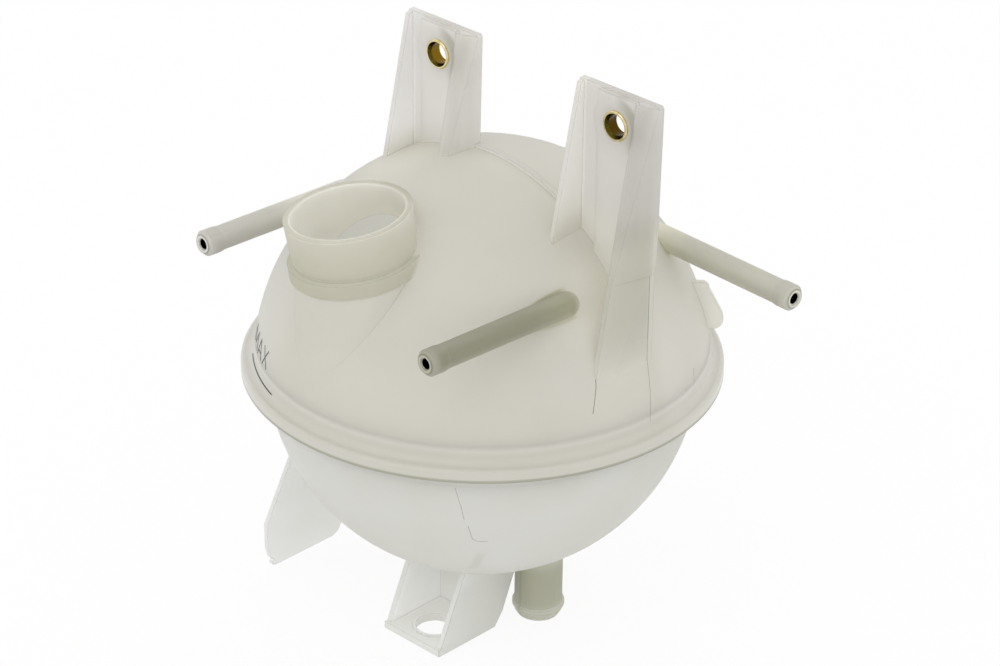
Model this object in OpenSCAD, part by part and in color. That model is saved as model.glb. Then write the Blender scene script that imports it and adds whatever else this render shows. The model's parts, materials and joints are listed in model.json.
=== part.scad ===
// Coolant expansion tank: a ball of two moulded shells welded at a flange,
// with a filler neck, three small hose spigots, one outlet, two bolt ears and two feet.
// The tank's own axis is vertical. The frame's origin is midway between the two
// bolt holes, on the flat back of the ears.

/* [Shells] */
// Outer radius of the upper dome
dome_r = 93.8; // [92.5:0.1:94.5]
// How much smaller the lower bowl's outer radius is than the dome's
bowl_step = 4.8; // [3.8:0.1:6.8]
// Height of the bowl's centre above the underside of the rim
bowl_lift = 2; // [0:0.5:3]
// Wall thickness of both shells
wall = 2.8; // [2.2:0.1:3.4]

/* [Flange] */
// How far the rim stands out beyond the dome
rim_out = 5.2; // [4.6:0.1:8]
// Height of the rim
flange_h = 5.2; // [4.6:0.1:6.5]
// Height of the weld face above the underside of the rim
seam_h = 2.4; // [1.8:0.1:2.8]
// Thickness of the lip that hangs over the weld
lip_t = 1.8; // [1.2:0.1:2.4]
// Gap between the lip and the lower flange
lip_gap = 0.3; // [0.2:0.05:0.6]
// Radius of the rim's top edge
rim_round = 1.8; // [0.8:0.1:2.2]
// Radius of the cove between the dome and the rim
cove_r = 3.4; // [1.5:0.1:4]

/* [Filler neck] */
// Distance of the pedestal's outer side inside the dome's widest radius
neck_inset = 3.6; // [2.4:0.1:6]
// Direction of the pedestal from the tank's axis, in degrees
neck_turn = 265.6; // [255:0.2:275]
// Outer radius of the pedestal
pedestal_r = 25; // [23:0.1:25.6]
// Depth below the dome's top at which the neck begins to lean
neck_drop = 30.3; // [28:0.1:34]
// Lean of the neck, in degrees
neck_lean = 8.5; // [0:0.5:10]
// Direction in which the neck leans, in degrees
neck_lean_turn = 234; // [220:1:270]
// How much wider the neck's mouth is than the pedestal, on each side
mouth_out = 0.6; // [0:0.1:1.2]
// How much the neck widens from its foot to its mouth, on each side
neck_flare = 0.7; // [0:0.1:1.2]
// Length of the neck from its foot to the mouth
neck_len = 26; // [23:0.5:30]
// Wall thickness of the neck and pedestal
neck_wall = 2.1; // [1.6:0.1:3]
// How far the collar at the neck's foot stands out beyond the pedestal
collar_out = 1.9; // [1.2:0.1:3.5]
// Height of the collar
collar_h = 7.6; // [5:0.2:9]
// Height of the bevel under the collar
collar_bevel = 1.9; // [1:0.1:3]
// Depth of the groove over the collar
groove_d = 0.6; // [0.3:0.1:1]
// Width of the groove over the collar
groove_w = 1.4; // [1:0.1:3]

/* [Hose spigots] */
// Depth of the three small spigots' axes below the dome's top
nipple_drop = 33.4; // [32:0.1:36]
// Turn of the three small spigots about the tank's axis, in degrees
nipple_turn = -3; // [-6:0.5:6]
// Outer diameter of a small spigot
nipple_d = 10; // [9:0.1:11]
// How far a small spigot's end stands out beyond the rest of it
nipple_tip_out = 0.35; // [0.2:0.05:0.8]
// Length of the thicker end
nipple_tip_len = 7; // [5:0.5:10]
// Bevel at the very end
nipple_bevel = 1.5; // [0.8:0.1:2]
// Length of the taper behind the thicker end
nipple_taper = 2; // [1:0.1:4]
// Distance of the front spigot's axis inside the dome's side at its height
front_in = 2.5; // [1.8:0.1:4]
// Distance of the left spigot's axis inside the dome's side at its height
left_in = 7.6; // [5.5:0.1:9]
// Distance of the right spigot's axis inside the dome's side at its height
right_in = 22.5; // [19:0.1:25]
// Distance of the front and left spigots' ends inside the rim's edge
nipple_short = 5.8; // [1:0.1:11]
// How far the right spigot reaches beyond the rim's edge
nipple_beyond = 26; // [16:0.5:33]
// Distance of the front and left spigots' roots from the tank's middle plane
side_root = 20; // [18:0.5:21]
// Distance of the right spigot's root from the tank's middle plane
right_root = 40; // [36:0.5:42]

/* [Spigot liners] */
// Outer diameter of the metal liner in each small spigot
liner_d = 5.4; // [5:0.1:6]
// Wall of the liner
liner_wall = 0.7; // [0.5:0.1:1]
// Length of the liner
liner_len = 14; // [8:1:20]
// Depth of the liner's end below the spigot's end
liner_sink = 0.8; // [0.4:0.1:2]
// Gap around the liner
liner_gap = 0.05; // [0.03:0.01:0.1]

/* [Outlet] */
// Distance of the outlet from the tank's axis
outlet_x = 33.8; // [32:0.2:40]
// Depth of the outlet's end below the bowl
outlet_drop = 18.4; // [14:0.2:28]
// Outer diameter of the outlet
outlet_d = 20; // [18:0.2:22]
// Wall of the outlet
outlet_wall = 2.2; // [1.8:0.1:3]
// How far the bead stands out
bead_h = 0.9; // [0.5:0.1:1.4]
// Length of the bead's land
bead_len = 1.6; // [1:0.1:3]
// Distance of the bead from the end
bead_back = 4; // [3:0.2:6]
// Length of the bevel at the outlet's end
outlet_bevel = 2; // [1:0.1:3]

/* [Ears] */
// Distance between the two bolt holes
bolt_spacing = 96.1; // [94:0.1:98]
// Distance of the left bolt hole from the tank's axis
left_bolt_x = 26.2; // [24:0.1:28]
// Height of the bolt holes above the dome's top
bolt_rise = 35.2; // [31:0.1:41]
// Height of the ears' tops above the bolt holes
ear_head = 13; // [12:0.1:17]
// Left margin of the left ear, from its bolt hole
left_ear_margin = 18.9; // [17:0.1:20]
// Left margin of the right ear, from its bolt hole
right_ear_margin = 21.2; // [18:0.1:22.5]
// Right margin of both ears at the top, from the bolt hole
ear_right = 19.8; // [18:0.1:22]
// Distance of the ears' flat back behind the tank's axis
ear_back_y = 5; // [4:0.1:7]
// Thickness of an ear's web
ear_t = 2.7; // [2:0.1:3]
// Width of the raised pad down the middle of an ear
pad_w = 19.4; // [17:0.2:22]
// Height of the pad above the web
pad_h = 2.3; // [1.5:0.1:3]
// Radius of the round boss about the bolt hole
boss_r = 11.6; // [10.5:0.1:12.5]
// Thickness of the ear's side ribs
rib_t = 2.2; // [1.8:0.1:2.8]
// How far the side ribs stand forward at the top
rib_top = 3; // [2.5:0.1:5]
// Forward slope of the left rib, in degrees
left_rib_slope = 12; // [9:0.2:14]
// Forward slope of the right rib, in degrees
right_rib_slope = 12; // [9:0.2:14]
// Height of the small step across the right rib
rib_step_z = 70.8; // [64:0.2:80]
// Right margin of the right rib below that step
rib_right = 17.7; // [16.5:0.1:18.4]
// Right margin of the right rib's front edge at the top
rib_front_top = 12.9; // [12:0.1:15]
// Right margin of the right rib's front edge at the rim
rib_front_low = 15.4; // [14:0.1:17]
// Height of the low rib that joins the ears across the dome
link_h = 1.4; // [0.8:0.1:2.5]

/* [Bolt sleeves] */
// Bore of the brass sleeve
sleeve_bore = 8.6; // [8:0.1:9]
// Outer diameter of the brass sleeve
sleeve_d = 10.8; // [10.4:0.1:12]
// Diameter of the sleeve's rolled rim
sleeve_rim_d = 12.4; // [12.2:0.1:14]
// Height of the rolled rim
sleeve_rim_h = 0.9; // [0.6:0.1:1.4]
// Gap around the sleeve
sleeve_gap = 0.05; // [0.03:0.01:0.1]

/* [Feet] */
// Depth of the feet below the bowl
foot_drop = 16.4; // [12:0.2:21]
// Wall thickness of the feet
foot_t = 2.5; // [2:0.1:3]
// Thickness of the front foot's floor
foot_floor = 3; // [2.4:0.1:4]
// Near side of the front foot
foot_x = 0.7; // [-4:0.1:4]
// Width of the front foot
foot_w = 31.8; // [28:0.2:36]
// Distance of the feet's front edge before the tank's axis
foot_front = 57.2; // [54:0.1:60]
// Depth of the front foot's floor from front to back
foot_depth = 32.6; // [28:0.2:36]
// Distance of the hole behind the feet's front edge
foot_hole_back = 12.8; // [11:0.2:18]
// Distance of the hole from the foot's left side
foot_hole_side = 16.6; // [13:0.2:19]
// Diameter of the hole in the front foot
foot_hole_d = 16; // [12:0.2:18]
// Height of the rim around that hole
foot_hole_rim = 0.5; // [0.3:0.1:1.5]
// Height of the slanted toe at the back of the feet
foot_toe = 6; // [3:0.2:8]
// Lean of the front foot's front edge, in degrees
foot_lean = 24; // [18:1:28]
// Lean of the feet's back edges, in degrees
foot_back_lean = 22.6; // [16:0.2:26]
// Distance of the left foot's face inside the bowl's radius
left_foot_in = 19.6; // [17:0.2:21]
// Lean of the left foot's front edge, in degrees
left_foot_lean = 28.4; // [24:0.2:32]
// How far the left foot's front stands forward of the front foot's
left_foot_step = 3; // [2:0.1:5]
// Height at which the left foot's front edge begins to lean
left_foot_knee = 21.1; // [17:0.1:26]
// Depth of the left foot's floor edge from front to back
left_foot_depth = 36; // [28:0.5:40]

/* [Hose clip] */
// Direction of the clip fin, in degrees
clip_turn = 40.4; // [30:0.2:50]
// Thickness of the clip fin
clip_t = 2.6; // [2:0.1:4]
// Height of the clip fin
clip_h = 20.8; // [18:0.2:26]
// How far the clip fin stands out beyond the dome's widest radius
clip_out = 4; // [2:0.1:6]
// Radius of the clip fin's lower corner
clip_round = 4.4; // [3:0.1:6]
// Radius of the clip fin's upper corner
clip_tip_r = 3; // [2:0.1:4]
// How much less the clip fin's upper corner stands out than its lower one
clip_in = 6.2; // [3:0.1:8]
// Height of the clip fin's middle
clip_z = 30.4; // [27:0.2:33]

/* [Hidden] */

$fn = 64;
eps = 0.01;

flange_r = dome_r + rim_out;
bowl_r = dome_r - bowl_step;
seam_r = flange_r - lip_t - lip_gap;
dome_in = dome_r - wall;
bowl_in = bowl_r - wall;
bowl_low = bowl_lift - bowl_r;

// Height inside the bowl up to which the feet and the outlet run before the hollow
// is taken out
root_z = bowl_lift - bowl_in / 2;

bolt_xs = [-left_bolt_x, bolt_spacing - left_bolt_x];
mid_x = (bolt_xs[0] + bolt_xs[1]) / 2;
bolt_z = dome_r + bolt_rise;
ear_top_z = bolt_z + ear_head;
web_y = ear_back_y - ear_t;
pad_y = web_y - pad_h;

neck_reach = dome_r - neck_inset - pedestal_r;
neck_at = [neck_reach * cos(neck_turn), neck_reach * sin(neck_turn)];
neck_foot_z = dome_r - neck_drop;
pedestal_top_z = neck_foot_z + pedestal_r * sin(neck_lean);
pedestal_in = pedestal_r - neck_wall;
collar_r = pedestal_r + collar_out;
neck_r = pedestal_r + mouth_out;
neck_base_r = neck_r - neck_flare;
neck_in = neck_base_r - neck_wall;

// Height at which the pedestal's bore starts, where it is still all in the hollow
neck_start = 0.9 * sqrt(max(pow(dome_in, 2) - pow(neck_reach + pedestal_in, 2), 0));

nipple_r = nipple_d / 2;
nipple_tip_r = nipple_r + nipple_tip_out;
nipple_bore = liner_d / 2 + liner_gap;
nipple_z = dome_r - nipple_drop;

// The dome's radius at the height of the spigots
level_r = sqrt(pow(dome_r, 2) - pow(nipple_z, 2));

outlet_r = outlet_d / 2;
outlet_in = outlet_r - outlet_wall;
outlet_z = outlet_drop - bowl_low;
foot_z = foot_drop - bowl_low;
foot_back_y = foot_depth - foot_front;
left_foot_x = bowl_r - left_foot_in;
left_foot_front = foot_front + left_foot_step;

// Height inside the bowl up to which the left foot runs before the hollow is taken out
left_root_z = bowl_lift - sqrt(pow(bowl_in, 2) - pow(left_foot_x, 2)) / 2;

// Each spigot: the direction in which it points, its offset from the tank's axis
// across that direction, its reach along it, and where its root lies
FRONT = [-90, level_r - front_in, flange_r - nipple_short, side_root];
LEFT = [-90, left_in - level_r, flange_r - nipple_short, side_root];
RIGHT = [0, level_r - right_in, flange_r + nipple_beyond, right_root];

natural = [0.86, 0.85, 0.80];
clear_white = [0.88, 0.88, 0.85];
brass = [0.80, 0.66, 0.28];
steel = [0.38, 0.36, 0.32];

// Moves the tank from its own axis to the frame of the bolt holes
module framed() {
    translate([-mid_x, -ear_back_y, -bolt_z]) children();
}

// A ring-shaped section kept to one side of its axis
module half_disc(r) {
    intersection() {
        circle(r = r);
        translate([0, -r]) square([r, 2 * r]);
    }
}

// The dome's outer section with the cove that runs into the rim
module dome_section() {
    intersection() {
        half_disc(dome_r);
        square([dome_r, dome_r]);
    }
    translate([dome_in, seam_h])
        square([flange_r - rim_round - dome_in, flange_h - seam_h]);
    translate([dome_in, seam_h])
        square([flange_r - dome_in, flange_h - rim_round - seam_h]);
    translate([flange_r - rim_round, flange_h - rim_round]) circle(r = rim_round);
    translate([flange_r - lip_t, 0]) square([lip_t, seam_h + eps]);
    difference() {
        translate([dome_in, flange_h - eps])
            square([dome_r + cove_r - 0.4 - dome_in, cove_r]);
        translate([dome_r + cove_r - 0.4, flange_h + cove_r]) circle(r = cove_r);
    }
}

module dome_outer() {
    rotate_extrude($fn = 96) difference() {
        dome_section();
        translate([0, -eps]) square([flange_r - lip_t, seam_h + eps]);
    }
}

module dome_cavity() {
    difference() {
        sphere(r = dome_in, $fn = 96);
        translate([0, 0, seam_h - 1 - dome_r]) cube(2 * dome_r, center = true);
    }
}

// Places its children at the foot of the neck, along the leaning axis
module on_neck() {
    translate([neck_at[0], neck_at[1], neck_foot_z])
        rotate([0, 0, neck_lean_turn])
        rotate([0, neck_lean, 0])
        children();
}

module neck_outer() {
    translate([neck_at[0], neck_at[1], 0]) cylinder(r = pedestal_r, h = pedestal_top_z);
    on_neck() {
        cylinder(r1 = pedestal_r - 0.4, r2 = collar_r, h = collar_bevel);
        translate([0, 0, collar_bevel]) cylinder(r = collar_r, h = collar_h - collar_bevel);
        translate([0, 0, collar_h]) cylinder(r = neck_base_r - groove_d, h = groove_w);
        translate([0, 0, collar_h + groove_w])
            cylinder(r1 = neck_base_r, r2 = neck_r, h = neck_len - collar_h - groove_w);
    }
}

module neck_bore() {
    translate([neck_at[0], neck_at[1], neck_start])
        cylinder(r = pedestal_in, h = pedestal_top_z + 0.1 - neck_start);
    on_neck() cylinder(r = neck_in, h = neck_len + 1);
}

// Places its children at a spigot's end, with +Z pointing back to the tank
module at_spigot(s) {
    rotate([0, 0, nipple_turn + s[0]])
        translate([s[2], s[1], nipple_z])
        rotate([0, -90, 0])
        children();
}

module nipple(s) {
    tube = s[2] - s[3];
    at_spigot(s) {
        cylinder(r1 = nipple_tip_r - nipple_bevel, r2 = nipple_tip_r, h = nipple_bevel);
        translate([0, 0, nipple_bevel]) cylinder(r = nipple_tip_r, h = nipple_tip_len - nipple_bevel);
        translate([0, 0, nipple_tip_len])
            cylinder(r1 = nipple_tip_r, r2 = nipple_r, h = nipple_taper);
        translate([0, 0, nipple_tip_len]) cylinder(r = nipple_r, h = tube - nipple_tip_len);
        translate([0, 0, tube]) sphere(r = nipple_r);
    }
}

// Where a spigot's whole bore has come out of the wall and into the hollow, measured
// from the tank's middle plane
function bore_end(s) =
    sqrt(max(pow(dome_in, 2) - pow(norm([s[1], nipple_z]) + nipple_bore, 2), 0)) - 1;

module nipple_hole(s, end) {
    at_spigot(s) translate([0, 0, -1]) cylinder(r = nipple_bore, h = s[2] + 1 - end);
}

// The front spigot only grazes the dome, so its bore turns inward to the chamber
module front_cross_hole() {
    rotate([0, 0, nipple_turn]) translate([FRONT[1], -FRONT[3] - 1, nipple_z]) {
        sphere(r = nipple_bore);
        rotate([0, -90 - atan(nipple_z / FRONT[1]), 0])
            cylinder(r = nipple_bore, h = wall + nipple_r + 4.2);
    }
}

// The ear's flat web; its right edge runs slightly inward going down
module ear_web(margin) {
    translate([0, ear_back_y, 0]) rotate([90, 0, 0]) linear_extrude(ear_t) polygon([
        [-margin, 0],
        [rib_right, 0],
        [rib_right, rib_step_z + 0.3],
        [ear_right - 1.2, rib_step_z + 4],
        [ear_right, ear_top_z - 1],
        [ear_right - 0.8, ear_top_z],
        [-margin, ear_top_z]
    ]);
}

// A flat wall between two levels, given the four corners of its plan at each
module wall_between(low, low_z, high, high_z) {
    hull() {
        translate([0, 0, low_z]) linear_extrude(eps) polygon(low);
        translate([0, 0, high_z - eps]) linear_extrude(eps) polygon(high);
    }
}

// Distance of a rib's front edge before the web at height z
function rib_out(z, slope) = rib_top + (ear_top_z - z) * tan(slope);

// Plan of a rib whose outer side runs from the web at x = back to x = front
function rib_plan(back, front, out, t) = [
    [back, web_y + eps],
    [front, web_y - out],
    [front - t, web_y - out],
    [back - t, web_y + eps]
];

module left_rib(margin) {
    t = -rib_t;
    wall_between(
        rib_plan(-margin, -margin, rib_out(0, left_rib_slope), t), 0,
        rib_plan(-margin, 1.2 - margin, rib_top, t), ear_top_z - 0.6
    );
}

module right_rib() {
    step_front = rib_front_top + (rib_front_low - rib_front_top) * (1 - rib_step_z / ear_top_z);
    step_out = rib_out(rib_step_z, right_rib_slope);
    wall_between(
        rib_plan(rib_right, rib_front_low, rib_out(0, right_rib_slope), rib_t), 0,
        rib_plan(rib_right, step_front, step_out, rib_t), rib_step_z + eps
    );
    wall_between(
        rib_plan(ear_right - 1.2, step_front, step_out, rib_t), rib_step_z,
        rib_plan(ear_right, rib_front_top, rib_top, rib_t), ear_top_z - 0.6
    );
}

module ear(x, margin) {
    translate([x, 0, 0]) {
        ear_web(margin);
        translate([-pad_w / 2, pad_y, 0]) cube([pad_w, pad_h + eps, ear_top_z - 0.6]);
        translate([0, web_y + eps, bolt_z]) rotate([90, 0, 0]) cylinder(r = boss_r, h = pad_h + eps);
        left_rib(margin);
        right_rib();
    }
}

module sleeve_hole(x) {
    translate([x, ear_back_y + 1, bolt_z]) rotate([90, 0, 0])
        cylinder(r = sleeve_d / 2 + sleeve_gap, h = ear_t + pad_h + 2);
}

// A low rib over the dome in the plane of the ears' webs
module link_rib() {
    intersection() {
        translate([0, ear_back_y, 0]) rotate([90, 0, 0]) linear_extrude(ear_t)
            circle(r = dome_r + link_h);
        translate([bolt_xs[0], 0, 0]) cube([bolt_spacing, ear_back_y * 2, ear_top_z]);
    }
}

// A small radial fin with a rounded upper and a rounded lower corner
module hose_clip() {
    rotate([90, 0, clip_turn]) linear_extrude(clip_t, center = true) {
        polygon([
            [dome_r / 2, clip_z - clip_h / 2],
            [dome_r + clip_out - clip_round, clip_z - clip_h / 2],
            [dome_r + clip_out, clip_z - clip_h / 2 + clip_round],
            [dome_r + clip_out - 0.6, clip_z - clip_h / 2 + clip_round + 3],
            [dome_r + clip_out - clip_in, clip_z + clip_h / 2 - clip_tip_r],
            [dome_r + clip_out - clip_in - clip_tip_r, clip_z + clip_h / 2],
            [dome_r / 2, clip_z + clip_h / 2]
        ]);
        translate([dome_r + clip_out - clip_round, clip_z - clip_h / 2 + clip_round])
            circle(r = clip_round);
        translate([dome_r + clip_out - clip_in - clip_tip_r, clip_z + clip_h / 2 - clip_tip_r])
            circle(r = clip_tip_r);
    }
}

module upper_shell() color(natural) framed() difference() {
    union() {
        dome_outer();
        difference() {
            union() {
                neck_outer();
                nipple(FRONT);
                nipple(LEFT);
                nipple(RIGHT);
                ear(bolt_xs[0], left_ear_margin);
                ear(bolt_xs[1], right_ear_margin);
                link_rib();
                hose_clip();
            }
            translate([0, 0, flange_h - 1 - ear_top_z]) cylinder(r = 2 * dome_r, h = ear_top_z);
        }
    }
    dome_cavity();
    neck_bore();
    nipple_hole(FRONT, FRONT[3] + 1);
    nipple_hole(LEFT, bore_end(LEFT));
    nipple_hole(RIGHT, bore_end(RIGHT));
    front_cross_hole();
    for (x = bolt_xs) sleeve_hole(x);
}

module bowl_section() {
    intersection() {
        translate([0, bowl_lift]) half_disc(bowl_r);
        translate([0, -bowl_r]) square([bowl_r, bowl_r + seam_h]);
    }
    translate([bowl_in - 1, 0]) square([seam_r - bowl_in + 1, seam_h]);
}

// A side wall of the front foot, from the floor up into the bowl
module foot_wall(x) {
    toe_y = foot_back_y + foot_toe * 0.75;
    translate([x, 0, 0]) rotate([90, 0, 90]) linear_extrude(foot_t) polygon([
        [-foot_front, -foot_z],
        [foot_back_y, -foot_z],
        [toe_y, foot_toe - foot_z],
        [toe_y + (root_z + foot_z - foot_toe) * tan(foot_back_lean), root_z],
        [(root_z + foot_z) * tan(foot_lean) - foot_front, root_z]
    ]);
}

module front_foot() {
    foot_wall(foot_x);
    foot_wall(foot_x + foot_w - foot_t);
    translate([foot_x, -foot_front, -foot_z]) cube([foot_w, foot_depth, foot_floor]);
    translate([foot_x, foot_back_y - foot_t, -foot_z]) cube([foot_w, foot_t, foot_z + root_z]);
    on_foot_hole() translate([0, 0, foot_floor - eps])
        cylinder(r = foot_hole_d / 2 + 1.4, h = foot_hole_rim + eps);
}

// Places its children on the underside of the front foot, at its hole
module on_foot_hole() {
    translate([foot_x + foot_hole_side, foot_hole_back - foot_front, -foot_z]) children();
}

// The left foot is a single upright wall; its front edge leans forward, then runs
// straight down to a small nub
module left_foot() {
    toe_y = left_foot_depth - foot_front + foot_toe * 0.75;
    translate([-left_foot_x, 0, 0]) rotate([90, 0, 90]) linear_extrude(foot_t - 0.4) polygon([
        [1 - foot_front, -foot_z],
        [left_foot_depth - foot_front - 1.5, -foot_z],
        [left_foot_depth - foot_front + 1.5, 1.4 - foot_z],
        [toe_y, foot_toe - foot_z],
        [toe_y + (left_root_z + foot_z - foot_toe) * tan(foot_back_lean), left_root_z],
        [(left_root_z + foot_z - left_foot_knee) * tan(left_foot_lean) - left_foot_front, left_root_z],
        [-left_foot_front, left_foot_knee - foot_z],
        [-left_foot_front, 10 - foot_z],
        [-foot_front - 1.6, 4.6 - foot_z],
        [0.2 - foot_front, 3.4 - foot_z],
        [0.2 - foot_front, 2.6 - foot_z],
        [-foot_front - 0.6, 2 - foot_z],
        [-foot_front - 0.4, 0.6 - foot_z]
    ]);
}

module outlet() {
    translate([outlet_x, 0, -outlet_z]) {
        cylinder(r1 = outlet_r - outlet_bevel * 0.6, r2 = outlet_r, h = outlet_bevel);
        translate([0, 0, outlet_bevel])
            cylinder(r = outlet_r, h = outlet_z + root_z - outlet_bevel);
        translate([0, 0, bead_back - 1]) cylinder(r1 = outlet_r, r2 = outlet_r + bead_h, h = 1);
        translate([0, 0, bead_back]) cylinder(r = outlet_r + bead_h, h = bead_len);
        translate([0, 0, bead_back + bead_len])
            cylinder(r1 = outlet_r + bead_h, r2 = outlet_r, h = 0.6);
    }
}

module lower_shell() color(clear_white) framed() difference() {
    union() {
        rotate_extrude($fn = 96) bowl_section();
        front_foot();
        left_foot();
        outlet();
    }
    translate([0, 0, bowl_lift]) sphere(r = bowl_in, $fn = 96);
    translate([outlet_x, 0, -outlet_z - 1]) cylinder(r = outlet_in, h = outlet_z + root_z + 2);
    on_foot_hole() translate([0, 0, -1])
        cylinder(r = foot_hole_d / 2, h = foot_floor + foot_hole_rim + 2);
}

// A turned brass sleeve with a rolled rim on the front of the ear
module sleeve(x) color(brass) framed() translate([x, ear_back_y, bolt_z]) rotate([90, 0, 0])
    rotate_extrude() polygon([
        [sleeve_bore / 2, 0],
        [sleeve_d / 2, 0],
        [sleeve_d / 2, ear_back_y - pad_y],
        [sleeve_rim_d / 2, ear_back_y - pad_y],
        [sleeve_rim_d / 2, ear_back_y - pad_y + sleeve_rim_h * 0.6],
        [sleeve_rim_d / 2 - 0.4, ear_back_y - pad_y + sleeve_rim_h],
        [sleeve_bore / 2 + 0.9, ear_back_y - pad_y + sleeve_rim_h],
        [sleeve_bore / 2, ear_back_y - pad_y - 0.6]
    ]);

module liner(s) color(steel) framed() at_spigot(s) translate([0, 0, liner_sink]) difference() {
    cylinder(d = liner_d, h = liner_len);
    translate([0, 0, -1]) cylinder(d = liner_d - 2 * liner_wall, h = liner_len + 2);
}

upper_shell();
lower_shell();
sleeve(bolt_xs[0]);  // sleeve_left
sleeve(bolt_xs[1]);  // sleeve_right
liner(FRONT);  // liner_front
liner(LEFT);  // liner_left
liner(RIGHT);  // liner_right
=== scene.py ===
"""Looks for the coolant expansion tank: translucent moulded plastic, brass sleeves and
bright metal liners, in a plain white studio. Everything is in metres, in the part's frame,
whose origin is midway between the two bolt holes on the flat back of the ears. Places on
the tank are given in mm from its own axis and the underside of its rim."""

import json
import math
from collections import namedtuple

import bmesh
import bpy
from mathutils import Matrix, Vector
from mathutils.bvhtree import BVHTree

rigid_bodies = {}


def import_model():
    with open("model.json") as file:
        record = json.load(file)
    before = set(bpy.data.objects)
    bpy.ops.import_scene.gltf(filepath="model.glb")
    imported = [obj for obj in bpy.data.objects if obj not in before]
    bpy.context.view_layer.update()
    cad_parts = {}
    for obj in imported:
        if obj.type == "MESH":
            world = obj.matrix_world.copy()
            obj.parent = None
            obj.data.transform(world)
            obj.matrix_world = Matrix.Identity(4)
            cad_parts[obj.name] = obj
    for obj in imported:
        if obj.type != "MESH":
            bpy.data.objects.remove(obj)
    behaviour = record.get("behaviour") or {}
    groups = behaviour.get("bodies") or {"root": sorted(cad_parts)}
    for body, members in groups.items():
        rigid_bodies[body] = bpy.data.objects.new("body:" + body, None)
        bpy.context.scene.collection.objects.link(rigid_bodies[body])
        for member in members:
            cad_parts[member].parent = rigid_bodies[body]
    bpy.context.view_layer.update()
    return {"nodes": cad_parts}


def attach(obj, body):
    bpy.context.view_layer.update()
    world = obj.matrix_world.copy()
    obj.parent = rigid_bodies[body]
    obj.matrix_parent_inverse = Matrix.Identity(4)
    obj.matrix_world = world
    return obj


MM = 0.001
X, Y, Z = range(3)
RIGHTWARD = Vector((1, 0, 0))
FRONTWARD = Vector((0, -1, 0))
UP = Vector((0, 0, 1))

# The tank's own axis, at the underside of the rim, in the part's frame
TANK = Vector((-21.85, -5.0, -129.0)) * MM
DOME_R = 93.8

# The camera, round the tank's own axis, in degrees and metres
CAMERA_AZIMUTH = 44.0
CAMERA_ELEVATION = 28.1
CAMERA_ROLL = 0.669
CAMERA_DISTANCE = 1.425
CAMERA_ASIDE = 7.05 * MM
CAMERA_ABOVE = 11.57 * MM
CAMERA_CLIP = 0.05, 20.0
SENSOR_WIDTH = 36.0
LENS = 124.92

# The studio
FLOOR_Z = TANK.z - 105.9 * MM
FLOOR_SIZE = 12.0
FLOOR_COLOUR = (0.94, 0.94, 0.94)
FLOOR_WHITENING = 0.9
WORLD_STRENGTH = 1.0
KEY_LAMP = {"azimuth": 15, "elevation": 55, "distance": 1.6, "size": 1.0, "power": 2.0}

# Hairlines of the moulding that only the looks show, dark with painted shade along its creases:
# corners and width
DOME_LINES = (
    ([(87.6, 2.3, 71.2), (87.8, 2.3, 55.7), (87.5, 2.3, 42.8)], 0.35),
    ([(87.5, 2.3, 42.8), (87.4, 2.3, 33.0), (92.84, -0.47, 13.38), (93.69, -1.0, 9.5)], 0.2),
    ([(87.6, 2.3, 71.2), (82.3, 2.3, 69.7)], 0.25),
    ([(84.45, -23.53, 33.36), (85.41, -24.45, 30.11), (87.13, -27.69, 20.98)], 0.4),
    ([(86.22, 32.33, 17.88), (87.78, 31.12, 11.21)], 0.2),
)
BOWL_LINES = (
    ([(53.97, -69.96, -8.66), (54.36, -68.95, -12.54), (54.57, -67.74, -16.83)], 0.25),
    ([(54.57, -67.74, -16.83), (54.76, -67.37, -17.59), (54.3, -65.19, -24.87)], 0.35),
    ([(54.64, -63.27, -28.53), (54.27, -61.75, -32.1), (53.67, -59.82, -36.24),
      (54.05, -58.68, -37.45), (55.02, -57.4, -38.0), (56.41, -55.99, -38.04),
      (57.63, -54.98, -37.72)], 0.35),
)
HAIRLINE_PROUD = 0.04
STROKE_DEPTH = 0.1  # how far a stroke reaches into the plastic
STROKE_TOP = 0.8  # how wide its top is, against its foot
# Painted crease shade: the hairlines' dark colour on the dome and on the bowl
DOME_CREASE_SHADE = (0.30, 0.29, 0.25)
BOWL_CREASE_SHADE = (0.52, 0.51, 0.48)

# The level mark: its letters stand between two heights, at turns round the tank in
# degrees, and its line runs below them on the dome's flared foot
MARK_LOW, MARK_MIDDLE, MARK_HIGH = 13.2, 15.6, 21.2
MARK_LETTERS = (
    ((229.3, MARK_LOW), (229.9, MARK_HIGH), (232.2, 14.7), (234.5, MARK_HIGH), (235.1, MARK_LOW)),
    ((236.3, MARK_LOW), (238.3, MARK_HIGH), (240.3, MARK_LOW)),
    ((237.0, MARK_MIDDLE), (239.6, MARK_MIDDLE)),
    ((241.7, MARK_HIGH), (245.3, MARK_LOW)),
    ((241.7, MARK_LOW), (245.3, MARK_HIGH)),
)
MARK_LINE_Z = 6.9
MARK_LINE_R = DOME_R + 0.7
MARK_LINE_TURNS = range(229, 252)
MARK_STROKE, MARK_PROUD = 0.6, 0.1
MARK_INK = (0.03, 0.03, 0.03)
INK_WEAR = {"scale": 1500.0, "detail": 3.0}
INK_WEAR_SPREAD = 0.35, 0.75
INK_ROUGHNESS = 0.5
INK_WORN, INK_ROUGHER = 0.05, 0.2  # how much lighter and rougher it is where it is worn
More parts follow.
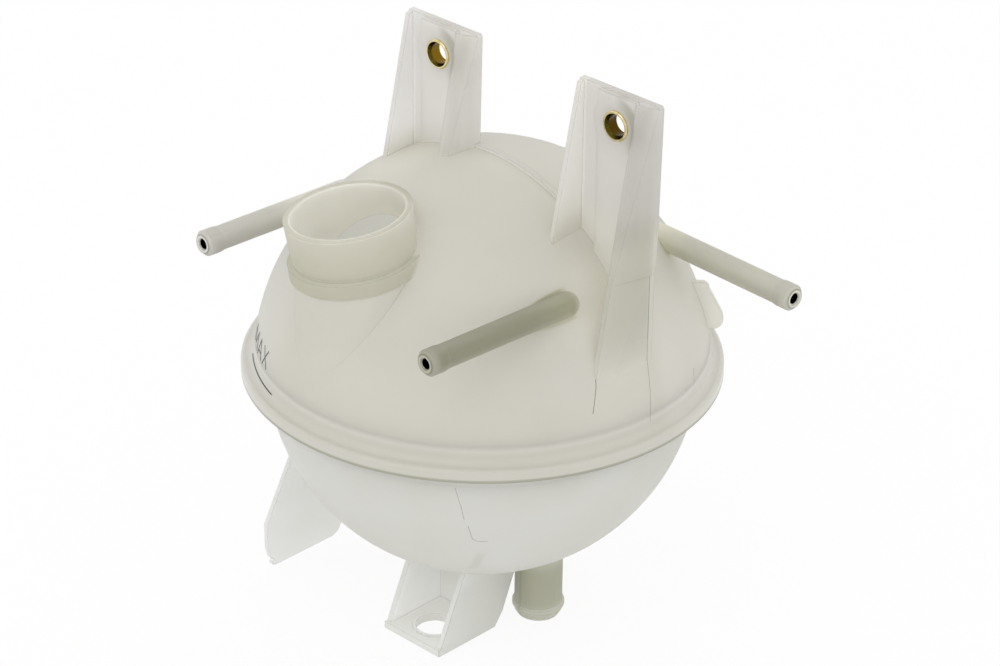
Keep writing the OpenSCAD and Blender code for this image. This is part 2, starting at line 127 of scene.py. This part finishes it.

# Both plastics: gloss, the share of light that thin walls let through and how much more
# the clearer places do, the soft radius of the edges and how far a softened normal has
# turned there, the fine grain, the cloud, the painted shade on edges and the cloud's tone
PLASTIC_GLOSS = {"Roughness": 0.36, "IOR": 1.5, "Sheen Weight": 0.35, "Sheen Roughness": 0.4}
THROUGH, CLEARER = 0.6, 0.25
EDGE_R = 0.5 * MM
EDGE_SAMPLES = 4
EDGE_TURN = 0.98, 0.85
EDGE_SHADE = (0.78, 0.77, 0.75)
GRAIN = {"scale": 900.0, "detail": 2.0}
GRAIN_BUMP = {"Strength": 0.04, "Distance": 0.1 * MM}
CLOUD = {"scale": 22.0, "detail": 3.0, "roughness": 0.45}
CLOUD_SPREAD = 0.35, 0.65
CLOUD_TONE = (0.975, 0.975, 0.965)
WHITE = (1.0, 1.0, 1.0)

# Each plastic's colour where light falls on it and where light comes through it
Plastic = namedtuple("Plastic", "colour glow")
DOME_PLASTIC = Plastic((0.862, 0.853, 0.808), (0.91, 0.90, 0.855))
# The bowl's colours are the dome's plastic painted lighter and less yellow, as painted light from
# below
BOWL_PLASTIC_PAINTED_LIGHT = Plastic((0.925, 0.925, 0.903), (0.965, 0.965, 0.95))

# Each metal's bright and dark grain and its roughness, which varies by a little, and the
# dark colours nearer to its axis, painted shade: a sleeve's inner lip and bore, and a liner's
# bore
Metal = namedtuple("Metal", "bright dark roughness")
BRASS = Metal((0.80, 0.69, 0.40), (0.66, 0.55, 0.27), 0.26)
STEEL = Metal((0.93, 0.92, 0.88), (0.8, 0.79, 0.74), 0.3)
METAL_GRAIN = {"scale": 600.0, "detail": 4.0}
POLISH_SPREAD = 0.08
RING_OUTER, RING_INNER = 0.1, -0.05  # where a dull colour's edge starts and ends
SLEEVE_LIP_SHADE = 5.2, (0.09, 0.065, 0.008)
SLEEVE_BORE_R = 4.3
LINER_R, LINER_BORE_R = 2.7, 2.3
# Painted shade in a liner's bore
LINER_BORE = (0.01, 0.009, 0.006)

# The sleeves: where each stands across the part's frame, and the colour of its bore, painted
# shade
SLEEVES = {"left": (-48.05, (0.23, 0.13, 0.008)), "right": (48.05, (0.07, 0.035, 0.002))}

# Below, a pair of numbers is a ramp, unless it is said to be something else: where a mask
# is 0 and where it is 1. Three are a band: its start, its end and its soft margin

# The small spigots: the turn of each one's direction, its axis' offset from the tank's
# axis, where it leaves the dome and where it ends, how far its darkest line lies above its
# axis, and its tones along that line, painted shade, and elsewhere, partly painted shade
SPIGOT_Z = 60.4
Spigot = namedtuple("Spigot", "turn offset root end middle_z middle edge")
SPIGOTS = {
    "front": Spigot(-93.0, 69.265, 19.0, 93.2, 1.6, (0.585, 0.585, 0.48), (0.77, 0.77, 0.70)),
    "left": Spigot(-93.0, -64.165, 33.0, 93.2, -1.5, (0.85, 0.845, 0.825), (0.96, 0.955, 0.94)),
    "right": Spigot(-3.0, 49.265, 46.0, 125.0, -1.5, (0.85, 0.85, 0.805), (0.97, 0.97, 0.95)),
}
SPIGOT_SKIN = 7.4, 5.9  # from its axis
SPIGOT_CORE = 5.2, 1.0  # up or down from its darkest line
SPIGOT_START, SPIGOT_ROOT = (-3.0, 2.0), (28.0, 4.0)  # past where it leaves the dome
CORE_END, SPIGOT_END, SPIGOT_TIP = (-1.0, -5.0), (-8.0, -6.5), (-0.5, -0.2)  # past its end
STREAKS = {"scale": 420.0, "detail": 3.0}
STREAK_STRETCH = 0.12  # the noise's pace along the spigot, against across
STREAK_SPREAD, STREAK_MOST = (0.3, 0.7), 0.35
STREAK_TONE = (0.9, 0.9, 0.87)
# Painted light at a spigot's root, painted shade near its end, and on its end a painted highlight
# ring and a painted shade ring
SPIGOT_ROOT_TONE = (1.14, 1.14, 1.12)
SPIGOT_END_TONE = (0.95, 0.95, 0.95)
TIP_HIGHLIGHT_RING = (LINER_R, 3.3, 0.1), (1.3, 1.3, 1.35)
TIP_SHADE_RING = (3.8, 4.3, 0.2), (0.7, 0.7, 0.66)

# The filler neck: its foot on the dome, its lean and the lean's turn in degrees, ramps
# along its axis and from it, the side where it is painted in shade inside, and its tones
NECK_FOOT = (-5.0, -65.0, 63.5)
NECK_LEAN, NECK_LEAN_TURN = 8.5, 234.0
NECK_START = -1.0, 2.0
NECK_MOUTH = 25.0, 25.7
NECK_WALL, NECK_OUTSIDE, NECK_INSIDE = (23.2, 23.8), (29.0, 27.5), (23.4, 22.6)
NECK_DEEPER_TURN, NECK_DEEPER = 30.0, (8.0, 19.0)
# Painted shade on its wall, partly for the thicker plastic, painted light inside and on its lip,
# and painted shade inside to one side
NECK_WALL_TONE = (0.88, 0.88, 0.845)
NECK_INSIDE_LIGHT = (1.10, 1.10, 1.12)
NECK_LIP_LIGHT = (1.09, 1.09, 1.09)
NECK_INSIDE_SHADE = (0.94, 0.935, 0.91)

# The thick rim of both shells: its band of heights on each, its reach from the tank's
# axis, and its tone, painted shade with some deeper tone of the thick plastic. LIP is the painted
# shadow line along the foot of the dome's lip
RIM_ON_DOME, RIM_ON_BOWL = (-6.0, 9.0, 5.0), (-4.0, 8.0, 5.0)
RIM_REACH = 84.0, 87.0
RIM_TONE = (0.67, 0.66, 0.62)
LIP_Z, LIP_REACH = (1.6, 0.6), (97.0, 98.0)
# Painted shadow under the dome's lip
LIP_TONE = (0.62, 0.62, 0.56)

# The ears, above the dome: where each begins, and how clear they are
EAR_Z = 80.0, 96.0
LEFT_EAR_X, RIGHT_EAR_X = (5.0, 0.0), (45.0, 47.0)
EAR_TONE = (1.0, 1.0, 1.03)
EAR_CLEARNESS = 0.6

# The shade right of each bolt pad: a ring round the bolt, fading in toward the right,
# and further round above than below
PAD_RING = 8.6, 10.6, 2.6
PAD_SIDE, PAD_SIDE_RISE = (1.0, 9.0), 0.3
PAD_TONE = (0.74, 0.74, 0.70)

# Zones of painted light and painted shade: the ramps that bound each one, as (axis, where it
# is 0, where it is 1), and what the plastic's colour is multiplied by there
LEFT_EAR_ZONES = (
    (((X, -41.0, -41.8),), (1.045, 1.045, 1.065)),  # its left rib, painted lighter
    (((X, -41.0, -41.8), (Z, 118.0, 94.0)), (1.04, 1.04, 1.04)),  # its left rib, low down, painted lighter
    (((X, -14.0, -11.0), (Y, -3.5, -6.0)), (0.955, 0.955, 0.95)),  # its right rib, in front, painted shade
)
RIGHT_EAR_ZONES = (
    (((X, 52.6, 52.0),), (1.05, 1.05, 1.05)),  # its left rib, painted lighter
    (((X, 52.0, 52.6),), (0.955, 0.95, 0.945)),  # all right of that, painted shade
    (((X, 79.0, 83.0),), (0.99, 0.99, 0.99)),  # its right rib, painted shade
    (((X, 80.0, 83.0), (Y, -3.5, -6.0)), (0.955, 0.955, 0.95)),  # its right rib, in front, painted shade
)
LOW_RIB_ZONES = (
    # painted shade on the right ear's right rib, where it runs down the dome
    (((Z, 100.0, 84.0), (Z, 25.0, 60.0), (X, 76.0, 79.0), (Y, 3.0, 1.0)), (0.895, 0.895, 0.87)),
)
DOME_ZONES = (
    (((Z, 58.0, 18.0),), (1.035, 1.035, 1.035)),  # painted light low down
    (((X, -15.0, -60.0), (Z, 80.0, 65.0)), (1.03, 1.035, 1.06)),  # painted light on the left flank
    # painted light on the right flank, behind the ear
    (((X, 60.0, 80.0), (Y, 3.0, 14.0), (Z, 62.0, 50.0)), (1.045, 1.045, 1.055)),
)
BOWL_ZONES = (
    # painted shade on the front foot's right wall, outside
    (((Z, -70.0, -80.0), (X, 31.8, 32.3), (X, 34.0, 33.0)), (0.88, 0.88, 0.87)),
    (((X, -66.0, -67.0), (Z, -40.0, -55.0)), (1.03, 1.03, 1.04)),  # painted light on the left foot
    (((X, 25.0, -40.0), (Z, -60.0, -50.0)), (1.04, 1.04, 1.05)),  # painted light on the left flank
)

# Soft round spots of painted light, and one of painted shade, on the dome's own surface: middle
# and tone
DOME_SPOTS = (((72, -11, 59), 1.075), ((-32, -16, 87), 1.05), ((78, -38, 30), 0.98))
SPOT_R = 25.0, 8.0
BEYOND_DOME = DOME_R + 0.2, DOME_R + 1.5  # from the tank's middle

# The outlet: a point on its axis beside the rim's underside, its skin, and where it
# starts and where it is above its bead, both down from that point
OUTLET_TOP = (33.8, 0, 0)
OUTLET_SKIN = 12.6, 11.4
OUTLET_START, ABOVE_BEAD = (70.0, 84.0), (101.0, 97.0)
# Painted shade on the outlet, deeper above its bead, partly the thicker plastic's tone
OUTLET_TONE = (0.89, 0.89, 0.84)
ABOVE_BEAD_TONE = (0.86, 0.86, 0.80)

# The front foot: its channel, as one band for each axis, painted lighter inside, and its root,
# which shows as a faint line of painted shade through the bowl, between two places
CHANNEL = (0.6, 30.0, 0.3), (-60.0, -24.0, 1.0), (-99.5, -76.0, 1.0)
CHANNEL_LIGHT = (1.055, 1.055, 1.07)
FOOT_ROOT = (42.0, -47.4, -60.6), (52.9, -53.5, -45.5)
FOOT_ROOT_R, FOOT_ROOT_START, FOOT_ROOT_END = (2.8, 0.8), (-2.0, 1.0), (21.0, 16.0)
FOOT_ROOT_SHADE = (0.93, 0.93, 0.92)


def at(x, y, z):
    """A point given in mm from the tank's own axis and the rim's underside."""
    return TANK + Vector((x, y, z)) * MM


def direction(azimuth, elevation):
    """Unit vector from the tank toward a place given by its azimuth and elevation."""
    a, e = math.radians(azimuth), math.radians(elevation)
    return Vector((math.sin(a) * math.cos(e), -math.cos(a) * math.cos(e), math.sin(e)))


def turned(turn):
    """Level unit vector, turned from +X toward +Y."""
    a = math.radians(turn)
    return Vector((math.cos(a), math.sin(a), 0))


def spigot_line(spigot):
    """A point on a spigot's axis, beside the tank's own, and its direction."""
    aside = turned(spigot.turn + 90) * spigot.offset
    return at(aside.x, aside.y, SPIGOT_Z), turned(spigot.turn)


def bolt_line(x):
    """A point on a bolt hole's axis, and its direction."""
    return Vector((x, 0, 0)) * MM, FRONTWARD


class Nodes:
    """Short names for building one node tree."""

    def __init__(self, tree):
        self.tree = tree
        tree.nodes.clear()

    def add(self, kind, **settings):
        node = self.tree.nodes.new(kind)
        for name, value in settings.items():
            setattr(node, name, value)
        return node

    def join(self, out, into):
        self.tree.links.new(out, into)

    def put(self, socket, value):
        """A constant, a socket or a field into an input."""
        if isinstance(value, Field):
            self.join(value.socket, socket)
        elif isinstance(value, bpy.types.NodeSocket):
            self.join(value, socket)
        elif isinstance(value, (tuple, Vector)) and socket.type == "RGBA":
            socket.default_value = (*value, 1)
        else:
            socket.default_value = value

    def vector(self, kind, a, b=None, scale=None):
        node = self.add("ShaderNodeVectorMath", operation=kind)
        self.put(node.inputs[0], a)
        if b is not None:
            self.put(node.inputs[1], b)
        if scale is not None:
            self.put(node.inputs["Scale"], scale)
        number = kind in ("DOT_PRODUCT", "LENGTH")
        return Field(self, node.outputs["Value"]) if number else node.outputs["Vector"]

    def object_place(self):
        return self.add("ShaderNodeTexCoord").outputs["Object"]

    def noise(self, place, scale, detail, roughness=0.5):
        node = self.add("ShaderNodeTexNoise")
        fill(node, {"Scale": scale, "Detail": detail, "Roughness": roughness})
        self.join(place, node.inputs["Vector"])
        return Field(self, node.outputs["Fac"])


class Field:
    """A number that varies over a surface."""

    def __init__(self, nodes, socket):
        self.nodes, self.socket = nodes, socket

    def combined(self, kind, other):
        node = self.nodes.add("ShaderNodeMath", operation=kind)
        self.nodes.join(self.socket, node.inputs[0])
        self.nodes.put(node.inputs[1], other)
        return Field(self.nodes, node.outputs[0])

    def __mul__(self, other):
        return self.combined("MULTIPLY", other)

    def __add__(self, other):
        return self.combined("ADD", other)

    def either(self, other):
        return self.combined("MAXIMUM", other)

    def size(self):
        node = self.nodes.add("ShaderNodeMath", operation="ABSOLUTE")
        self.nodes.join(self.socket, node.inputs[0])
        return Field(self.nodes, node.outputs[0])

    def ramp(self, start, end, low=0.0, high=1.0):
        """low before start, high past end and smooth between; start may be the larger."""
        node = self.nodes.add("ShaderNodeMapRange", interpolation_type="SMOOTHSTEP")
        self.nodes.join(self.socket, node.inputs["Value"])
        fill(node, {"From Min": start, "From Max": end, "To Min": low, "To Max": high})
        return Field(self.nodes, node.outputs["Result"])

    def band(self, start, end, soft):
        """1 between start and end, fading over soft on both sides."""
        return self.ramp(start - soft, start) * self.ramp(end + soft, end)


def fill(node, values):
    """Constants into a node's inputs, by name."""
    for name, value in values.items():
        node.inputs[name].default_value = value


def part_of(n, place, axis):
    """How far along one of the frame's axes, in mm from the tank's own axis."""
    unit = Vector([float(axis == i) for i in range(3)])
    return n.vector("DOT_PRODUCT", place, unit) * (1 / MM) + (-TANK[axis] / MM)


def along_direction(n, offset, way):
    """How far an offset reaches along a direction, in mm."""
    return n.vector("DOT_PRODUCT", offset, way) * (1 / MM)


def round_tank(n, place):
    """Distance from the tank's own axis in mm."""
    flat = n.vector("MULTIPLY", n.vector("SUBTRACT", place, TANK), Vector((1, 1, 0)))
    return n.vector("LENGTH", flat) * (1 / MM)


def from_point(n, place, point):
    """Distance from a point in mm."""
    return n.vector("LENGTH", n.vector("SUBTRACT", place, point)) * (1 / MM)


def beyond_dome(n, place):
    """1 on what stands out of the dome, 0 on the dome itself."""
    return from_point(n, place, TANK).ramp(*BEYOND_DOME)


def round_line(n, place, point, axis):
    """(distance along a line in mm, distance from it in mm, offset from it in metres)"""
    off = n.vector("SUBTRACT", place, point)
    along = n.vector("DOT_PRODUCT", off, axis)
    side = n.vector("SUBTRACT", off, n.vector("SCALE", axis, scale=along))
    return along * (1 / MM), n.vector("LENGTH", side) * (1 / MM), side


def zones(parts, table, within=None):
    """(where, tone) pairs for a table of zones, each cut to the mask they lie within."""
    pairs = []
    for ramps, tone in table:
        factors = [parts[axis].ramp(start, end) for axis, start, end in ramps]
        if within:
            factors.append(within)
        pairs.append((math.prod(factors[1:], start=factors[0]), tone))
    return pairs


def material(name):
    m = bpy.data.materials.new(name)
    m.use_nodes = True
    return m, Nodes(m.node_tree)


def shader_of(n):
    """A Principled BSDF wired to the material's output."""
    out = n.add("ShaderNodeOutputMaterial")
    shader = n.add("ShaderNodeBsdfPrincipled")
    n.join(shader.outputs["BSDF"], out.inputs["Surface"])
    return shader


def two_shaders(n, first, second):
    """Two shaders mixed and wired to the output. Gives the socket of the second's share."""
    out = n.add("ShaderNodeOutputMaterial")
    both = n.add("ShaderNodeMixShader")
    n.join(first.outputs[0], both.inputs[1])
    n.join(second.outputs[0], both.inputs[2])
    n.join(both.outputs["Shader"], out.inputs["Surface"])
    return both.inputs[0]


def mixed(n, kind, amount, low, high):
    """Two colours mixed or multiplied by an amount from 0 to 1."""
    mix = n.add("ShaderNodeMix", data_type="RGBA", blend_type=kind)
    n.put(mix.inputs[0], amount)
    n.put(mix.inputs[6], low)
    n.put(mix.inputs[7], high)
    return mix.outputs[2]


def plastic(name, kind, tones):
    """Natural moulded plastic: milky, faintly clouded, lets light through, has soft edges
    with painted shade on them. tones(n, place) gives (where, what the colour is multiplied
    by) pairs of painted light and shade, where no light comes through and where more does."""
    m, n = material(name)
    shader = n.add("ShaderNodeBsdfPrincipled")
    lit_through = n.add("ShaderNodeBsdfTranslucent")
    share_through = two_shaders(n, shader, lit_through)
    fill(shader, PLASTIC_GLOSS)

    place = n.object_place()
    cloud = n.noise(place, **CLOUD).ramp(*CLOUD_SPREAD)
    shade = mixed(n, "MIX", cloud, CLOUD_TONE, WHITE)
    soften = n.add("ShaderNodeBevel", samples=EDGE_SAMPLES)
    fill(soften, {"Radius": EDGE_R})
    true_normal = n.add("ShaderNodeNewGeometry").outputs["Normal"]
    turn = n.vector("DOT_PRODUCT", soften.outputs["Normal"], true_normal)
    pairs, thick, clear = tones(n, place)
    # The tones' painted light and shade, then painted shade on the edges
    for where, tone in [*pairs, (turn.ramp(*EDGE_TURN), EDGE_SHADE)]:
        shade = mixed(n, "MULTIPLY", where, shade, tone)
    n.join(mixed(n, "MULTIPLY", 1.0, shade, kind.colour), shader.inputs["Base Color"])
    n.join(mixed(n, "MULTIPLY", 1.0, shade, kind.glow), lit_through.inputs["Color"])
    n.put(share_through, thick.ramp(0.0, 1.0, THROUGH, 0.0) + clear * CLEARER)

    bump = n.add("ShaderNodeBump")
    fill(bump, GRAIN_BUMP)
    n.put(bump.inputs["Height"], n.noise(place, **GRAIN))
    n.join(soften.outputs["Normal"], bump.inputs["Normal"])
    n.join(bump.outputs["Normal"], shader.inputs["Normal"])
    return m


def spigot_tones(n, place, spigot):
    """A small spigot is deeper in tone than the dome, partly as it is denser and partly as
    painted shade: painted darkest along its middle, painted lighter at its root, its upper
    and lower sides and its tip, with faint streaks along it, and a painted highlight ring
    and a painted shade ring on its end."""
    foot, axis = spigot_line(spigot)
    along, off, side = round_line(n, place, foot, axis)
    past_root, past_end = along + -spigot.root, along + -spigot.end
    on_it = off.ramp(*SPIGOT_SKIN) * past_root.ramp(*SPIGOT_START)
    from_middle = (along_direction(n, side, UP) + -spigot.middle_z).size()
    core = from_middle.ramp(*SPIGOT_CORE) * past_end.ramp(*CORE_END)
    drawn_out = n.vector("SCALE", axis, scale=along * (STREAK_STRETCH * MM))
    streak = n.noise(n.vector("ADD", side, drawn_out), **STREAKS)
    tip = past_end.ramp(*SPIGOT_TIP)
    pairs = [
        (on_it, spigot.edge),
        (on_it * core, tuple(a / b for a, b in zip(spigot.middle, spigot.edge))),
        (on_it * streak.ramp(*STREAK_SPREAD, 0.0, STREAK_MOST), STREAK_TONE),
        (on_it * past_root.ramp(*SPIGOT_ROOT), SPIGOT_ROOT_TONE),
        (on_it * past_end.ramp(*SPIGOT_END), SPIGOT_END_TONE),
    ]
    # The painted highlight ring and the painted shade ring on its end
    for ring, tone in (TIP_HIGHLIGHT_RING, TIP_SHADE_RING):
        pairs.append((tip * off.band(*ring), tone))
    return pairs


def neck_tones(n, place):
    """The filler neck's wall is painted deeper in tone, partly as it is thicker than the dome
    and partly as painted shade; painted lighter inside and on its lip, with painted shade to
    the right inside. Gives its (where, tone) pairs, and where it is."""
    lean = math.radians(NECK_LEAN)
    axis = turned(NECK_LEAN_TURN) * math.sin(lean) + UP * math.cos(lean)
    along, off, side = round_line(n, place, at(*NECK_FOOT), axis)
    high = along.ramp(*NECK_START)
    outside = off.ramp(*NECK_OUTSIDE)
    wall = high * off.ramp(*NECK_WALL) * outside * beyond_dome(n, place)
    inside = high * off.ramp(*NECK_INSIDE)
    deeper = along_direction(n, side, turned(NECK_DEEPER_TURN)).ramp(*NECK_DEEPER)
    pairs = [
        (wall, NECK_WALL_TONE),
        (inside, NECK_INSIDE_LIGHT),
        (along.ramp(*NECK_MOUTH) * outside, NECK_LIP_LIGHT),
        (inside * deeper, NECK_INSIDE_SHADE),
    ]
    return pairs, wall.either(inside)


def rim_zone(n, place, heights):
    """Where the thick rim keeps light from coming through."""
    return part_of(n, place, Z).band(*heights) * round_tank(n, place).ramp(*RIM_REACH)


def dome_tones(n, place):
    """The upper shell's tones of painted light and shade, where no light comes through it and
    where more does.
    """
    parts = [part_of(n, place, axis) for axis in (X, Y, Z)]
    rim = rim_zone(n, place, RIM_ON_DOME)
    lip = parts[Z].ramp(*LIP_Z) * round_tank(n, place).ramp(*LIP_REACH)
    neck, neck_zone = neck_tones(n, place)
    pairs = [(rim, RIM_TONE), (lip, LIP_TONE), *neck]
    for spigot in SPIGOTS.values():
        pairs += spigot_tones(n, place, spigot)

    proud = beyond_dome(n, place)
    ear = parts[Z].ramp(*EAR_Z) * proud
    pairs.append((ear, EAR_TONE))
    pairs += zones(parts, LEFT_EAR_ZONES, ear * parts[X].ramp(*LEFT_EAR_X))
    pairs += zones(parts, RIGHT_EAR_ZONES, ear * parts[X].ramp(*RIGHT_EAR_X))
    for x, _ in SLEEVES.values():
        _, off, side = round_line(n, place, *bolt_line(x))
        up = along_direction(n, side, UP) * PAD_SIDE_RISE
        shaded = (along_direction(n, side, RIGHTWARD) + up).ramp(*PAD_SIDE)
        pairs.append((off.band(*PAD_RING) * shaded, PAD_TONE))

    pairs += zones(parts, LOW_RIB_ZONES, proud)
    pairs += zones(parts, DOME_ZONES)
    flush = proud.ramp(1.0, 0.0)
    for middle, tone in DOME_SPOTS:
        near = from_point(n, place, at(*middle)).ramp(*SPOT_R)
        pairs.append((near * flush, (tone, tone, tone)))
    return pairs, rim, neck_zone + ear * EAR_CLEARNESS


def bowl_tones(n, place):
    """The lower shell's tones of painted light and shade, where no light comes through it and
    where more does.
    """
    parts = [part_of(n, place, axis) for axis in (X, Y, Z)]
    rim = rim_zone(n, place, RIM_ON_BOWL)
    down, off, _ = round_line(n, place, at(*OUTLET_TOP), -UP)
    outlet = off.ramp(*OUTLET_SKIN) * down.ramp(*OUTLET_START)
    start, end = (at(*corner) for corner in FOOT_ROOT)
    along, off, _ = round_line(n, place, start, (end - start).normalized())
    root = off.ramp(*FOOT_ROOT_R) * along.ramp(*FOOT_ROOT_START) * along.ramp(*FOOT_ROOT_END)
    bands = [part.band(*band) for part, band in zip(parts, CHANNEL)]
    channel = bands[X] * bands[Y] * bands[Z]
    pairs = [
        (rim, RIM_TONE),
        (outlet, OUTLET_TONE),
        (outlet * down.ramp(*ABOVE_BEAD), ABOVE_BEAD_TONE),
        (root, FOOT_ROOT_SHADE),
        (channel, CHANNEL_LIGHT),
        *zones(parts, BOWL_ZONES),
    ]
    return pairs, rim, channel


def metal(name, kind, line, rings):
    """Turned metal: fine grains of tone and a slightly uneven polish. rings gives
    (radius, colour) pairs, a dark colour of painted shade for everything nearer to the line than
    that."""
    m, n = material(name)
    shader = shader_of(n)
    place = n.object_place()
    grain = n.noise(place, **METAL_GRAIN)
    tint = mixed(n, "MIX", grain.ramp(0.3, 0.7), kind.dark, kind.bright)
    smoothest, roughest = kind.roughness - POLISH_SPREAD, kind.roughness + POLISH_SPREAD
    polish = grain.ramp(0.2, 0.8, smoothest, roughest)
    _, off, _ = round_line(n, place, *line)
    for radius, colour in rings:
        within = off.ramp(radius + RING_OUTER, radius + RING_INNER)
        tint = mixed(n, "MIX", within, tint, colour)
    n.join(tint, shader.inputs["Base Color"])
    n.put(shader.inputs["Roughness"], polish)
    fill(shader, {"Metallic": 1.0})
    return m


def ink(name, shade):
    """Printed marks, and hairlines whose dark colour is painted shade along the moulding's
    creases: dull, slightly worn.
    """
    m, n = material(name)
    shader = shader_of(n)
    wear = n.noise(n.object_place(), **INK_WEAR).ramp(*INK_WEAR_SPREAD)
    worn = tuple(c + INK_WORN for c in shade)
    n.join(mixed(n, "MIX", wear, shade, worn), shader.inputs["Base Color"])
    n.put(shader.inputs["Roughness"], wear * INK_ROUGHER + INK_ROUGHNESS)
    return m


def dress(node, look):
    """Gives every slot of a CAD node the same material."""
    for slot in frame["nodes"][node].material_slots:
        slot.material = look


def surface_of(node):
    """A CAD node's surface, to find the nearest place on it."""
    piece = frame["nodes"][node]
    corners = [piece.matrix_world @ v.co for v in piece.data.vertices]
    return BVHTree.FromPolygons(corners, [list(p.vertices) for p in piece.data.polygons])


def drawn(corners, step=1.5):
    """Points along a line through corners, each in mm."""
    path = [at(*corners[0])]
    for a, b in zip(corners, corners[1:]):
        a, b = Vector(a), Vector(b)
        count = max(1, round((b - a).length / step))
        path += [at(*a.lerp(b, i / count)) for i in range(1, count + 1)]
    return path


def on_dome(turn, z, radius=DOME_R):
    """A place on a sphere round the tank's middle, in mm."""
    flat = math.sqrt(radius**2 - z**2)
    return tuple(turned(turn).xy * flat) + (z,)


def ribbons(name, surface, strokes, proud, look):
    """Thin raised strokes on a CAD node's surface, as one piece. A stroke is its points,
    which are moved onto the surface, and its width in mm."""
    mesh = bmesh.new()
    for points, width in strokes:
        path = [surface.find_nearest(point)[:2] for point in points]
        rings = []
        for i, (point, normal) in enumerate(path):
            before, after = path[max(i - 1, 0)][0], path[min(i + 1, len(path) - 1)][0]
            across = normal.cross(after - before).normalized() * width / 2 * MM
            low, high = point - normal * STROKE_DEPTH * MM, point + normal * proud * MM
            top = across * STROKE_TOP
            corners = (low - across, low + across, high + top, high - top)
            rings.append([mesh.verts.new(c) for c in corners])
        for a, b in zip(rings, rings[1:]):
            for i in range(4):
                mesh.faces.new((a[i], a[(i + 1) % 4], b[(i + 1) % 4], b[i]))
        mesh.faces.new(rings[0][::-1])
        mesh.faces.new(rings[-1])
    bmesh.ops.recalc_face_normals(mesh, faces=mesh.faces)
    data = bpy.data.meshes.new(name)
    mesh.to_mesh(data)
    mesh.free()
    data.materials.append(look)
    piece = bpy.data.objects.new(name, data)
    bpy.context.collection.objects.link(piece)
    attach(piece, "root")


def level_mark(surface):
    """MAX over its line, printed on the dome's left flank."""
    lines = [[on_dome(*corner) for corner in letter] for letter in MARK_LETTERS]
    lines.append([on_dome(turn, MARK_LINE_Z, MARK_LINE_R) for turn in MARK_LINE_TURNS])
    strokes = [(drawn(line), MARK_STROKE) for line in lines]
    look = ink("mark_ink", MARK_INK)
    ribbons("level_mark", surface, strokes, MARK_PROUD, look)


def fine_lines(name, surface, look, lines):
    """Hairline moulding marks: (corners, width) pairs in mm."""
    strokes = [(drawn(corners), width) for corners, width in lines]
    ribbons(name, surface, strokes, HAIRLINE_PROUD, look)


def seen_directly(n):
    """1 for a ray from the camera or off or through something shiny, else 0."""
    path = n.add("ShaderNodeLightPath")
    seen = Field(n, path.outputs["Is Camera Ray"])
    for name in ("Is Glossy Ray", "Is Transmission Ray"):
        seen = seen.either(Field(n, path.outputs[name]))
    return seen


def make_floor():
    """A matt white floor that keeps the shadow but shows as white to the camera."""
    bpy.ops.mesh.primitive_plane_add(size=FLOOR_SIZE, location=(0, 0, FLOOR_Z))
    floor = bpy.context.object
    floor.name = "studio_floor"
    m, n = material("studio_floor")
    matt = n.add("ShaderNodeBsdfDiffuse")
    n.put(matt.inputs["Color"], FLOOR_COLOUR)
    white_share = two_shaders(n, matt, n.add("ShaderNodeEmission"))
    n.put(white_share, seen_directly(n) * FLOOR_WHITENING)
    floor.data.materials.append(m)


def make_world():
    world = bpy.data.worlds.new("studio")
    bpy.context.scene.world = world
    world.use_nodes = True
    n = Nodes(world.node_tree)
    out = n.add("ShaderNodeOutputWorld")
    sky = n.add("ShaderNodeBackground")
    fill(sky, {"Color": (1, 1, 1, 1), "Strength": WORLD_STRENGTH})
    n.join(sky.outputs["Background"], out.inputs["Surface"])


def make_lamp(name, azimuth, elevation, distance, size, power):
    """A soft round lamp that faces the tank."""
    data = bpy.data.lights.new(name, "AREA")
    data.shape = "DISK"
    data.size = size
    data.energy = power
    lamp = bpy.data.objects.new(name, data)
    bpy.context.collection.objects.link(lamp)
    toward = direction(azimuth, elevation)
    lamp.location = TANK + toward * distance
    lamp.rotation_mode = "QUATERNION"
    lamp.rotation_quaternion = toward.to_track_quat("Z", "Y")


def make_camera():
    back = direction(CAMERA_AZIMUTH, CAMERA_ELEVATION)
    right = UP.cross(back).normalized()
    up = back.cross(right)
    place = TANK + back * CAMERA_DISTANCE + right * CAMERA_ASIDE + up * CAMERA_ABOVE
    roll = math.radians(CAMERA_ROLL)
    x = right * math.cos(roll) + up * math.sin(roll)
    y = up * math.cos(roll) - right * math.sin(roll)
    data = bpy.data.cameras.new("camera")
    data.sensor_width = SENSOR_WIDTH
    data.lens = LENS
    data.clip_start, data.clip_end = CAMERA_CLIP
    camera = bpy.data.objects.new("camera", data)
    bpy.context.collection.objects.link(camera)
    axes = Matrix((x, y, back)).transposed().to_4x4()
    camera.matrix_world = Matrix.Translation(place) @ axes
    bpy.context.scene.camera = camera


for thing in list(bpy.data.objects):
    bpy.data.objects.remove(thing)
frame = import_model()
bpy.context.scene.view_settings.view_transform = "Standard"

make_camera()
make_world()
make_floor()
make_lamp("key", **KEY_LAMP)

dress("upper_shell", plastic("dome_plastic", DOME_PLASTIC, dome_tones))
dress("lower_shell", plastic("bowl_plastic", BOWL_PLASTIC_PAINTED_LIGHT, bowl_tones))
# The sleeves' and liners' bores are painted dark as shade
for side, (x, bore) in SLEEVES.items():
    rings = (SLEEVE_LIP_SHADE, (SLEEVE_BORE_R, bore))
    dress("sleeve_" + side, metal("turned_brass_" + side, BRASS, bolt_line(x), rings))
for side, spigot in SPIGOTS.items():
    rings = ((LINER_BORE_R, LINER_BORE),)
    dress("liner_" + side, metal("liner_steel_" + side, STEEL, spigot_line(spigot), rings))

dome, bowl = surface_of("upper_shell"), surface_of("lower_shell")
level_mark(dome)
# The hairlines are dark with painted shade along the moulding's creases
fine_lines("dome_lines", dome, ink("dome_line", DOME_CREASE_SHADE), DOME_LINES)
fine_lines("bowl_lines", bowl, ink("bowl_line", BOWL_CREASE_SHADE), BOWL_LINES)
